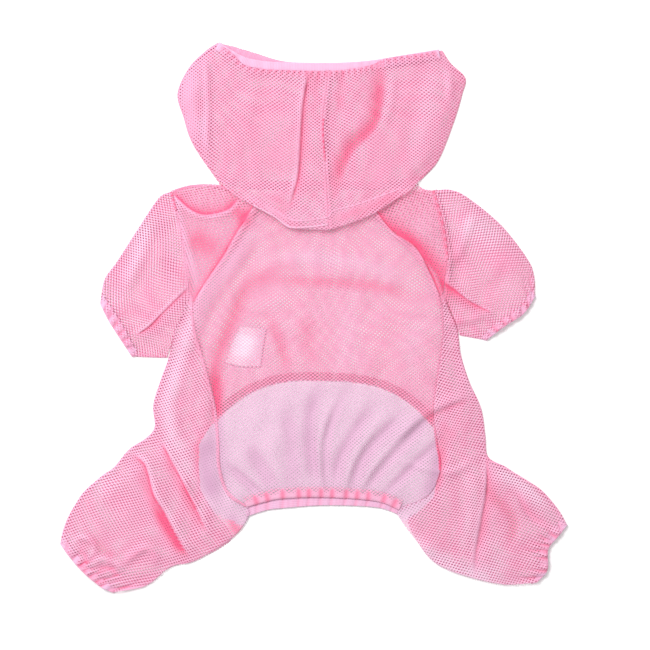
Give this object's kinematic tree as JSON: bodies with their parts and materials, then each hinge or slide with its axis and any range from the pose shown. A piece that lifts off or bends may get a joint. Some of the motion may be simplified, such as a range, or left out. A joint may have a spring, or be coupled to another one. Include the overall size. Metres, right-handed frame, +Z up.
{
  "type": "dog mesh bug suit",
  "caption": "Four-legged fine-net suit for a small dog with a hood, laid flat back up, elastic at hood, rump and cuffs.",
  "frame": {"origin": "centre of the bounding box in X and Y, on the surface that the suit lies on", "axes": "+X to the suit's right hand side as seen from above with the hood away from the viewer, +Y from the hind cuffs to the hood, +Z up through the layers"},
  "size_m": [0.3545, 0.3846, 0.011],
  "materials": {
    "pink_net": "fine open polyester net, soft and matt with a faint sheen",
    "pale_elastic": "flat ribbed elastic tape, matt",
    "label_satin": "blank woven satin, soft gloss"
  },
  "bodies": {
    "root": {"back_panel": "pink_net", "belly_panel": "pink_net", "belly_hem": "pink_net", "shoulder_left": "pink_net", "shoulder_right": "pink_net", "sleeve_left": "pink_net", "sleeve_right": "pink_net", "hind_leg_left": "pink_net", "hind_leg_right": "pink_net", "hood_left": "pink_net", "hood_right": "pink_net", "hood_band": "pale_elastic", "rump_band": "pale_elastic", "sleeve_cuff_left": "pale_elastic", "sleeve_cuff_right": "pale_elastic", "hind_cuff_left": "pale_elastic", "hind_cuff_right": "pale_elastic", "care_label": "label_satin"}
  },
  "joints": []
}
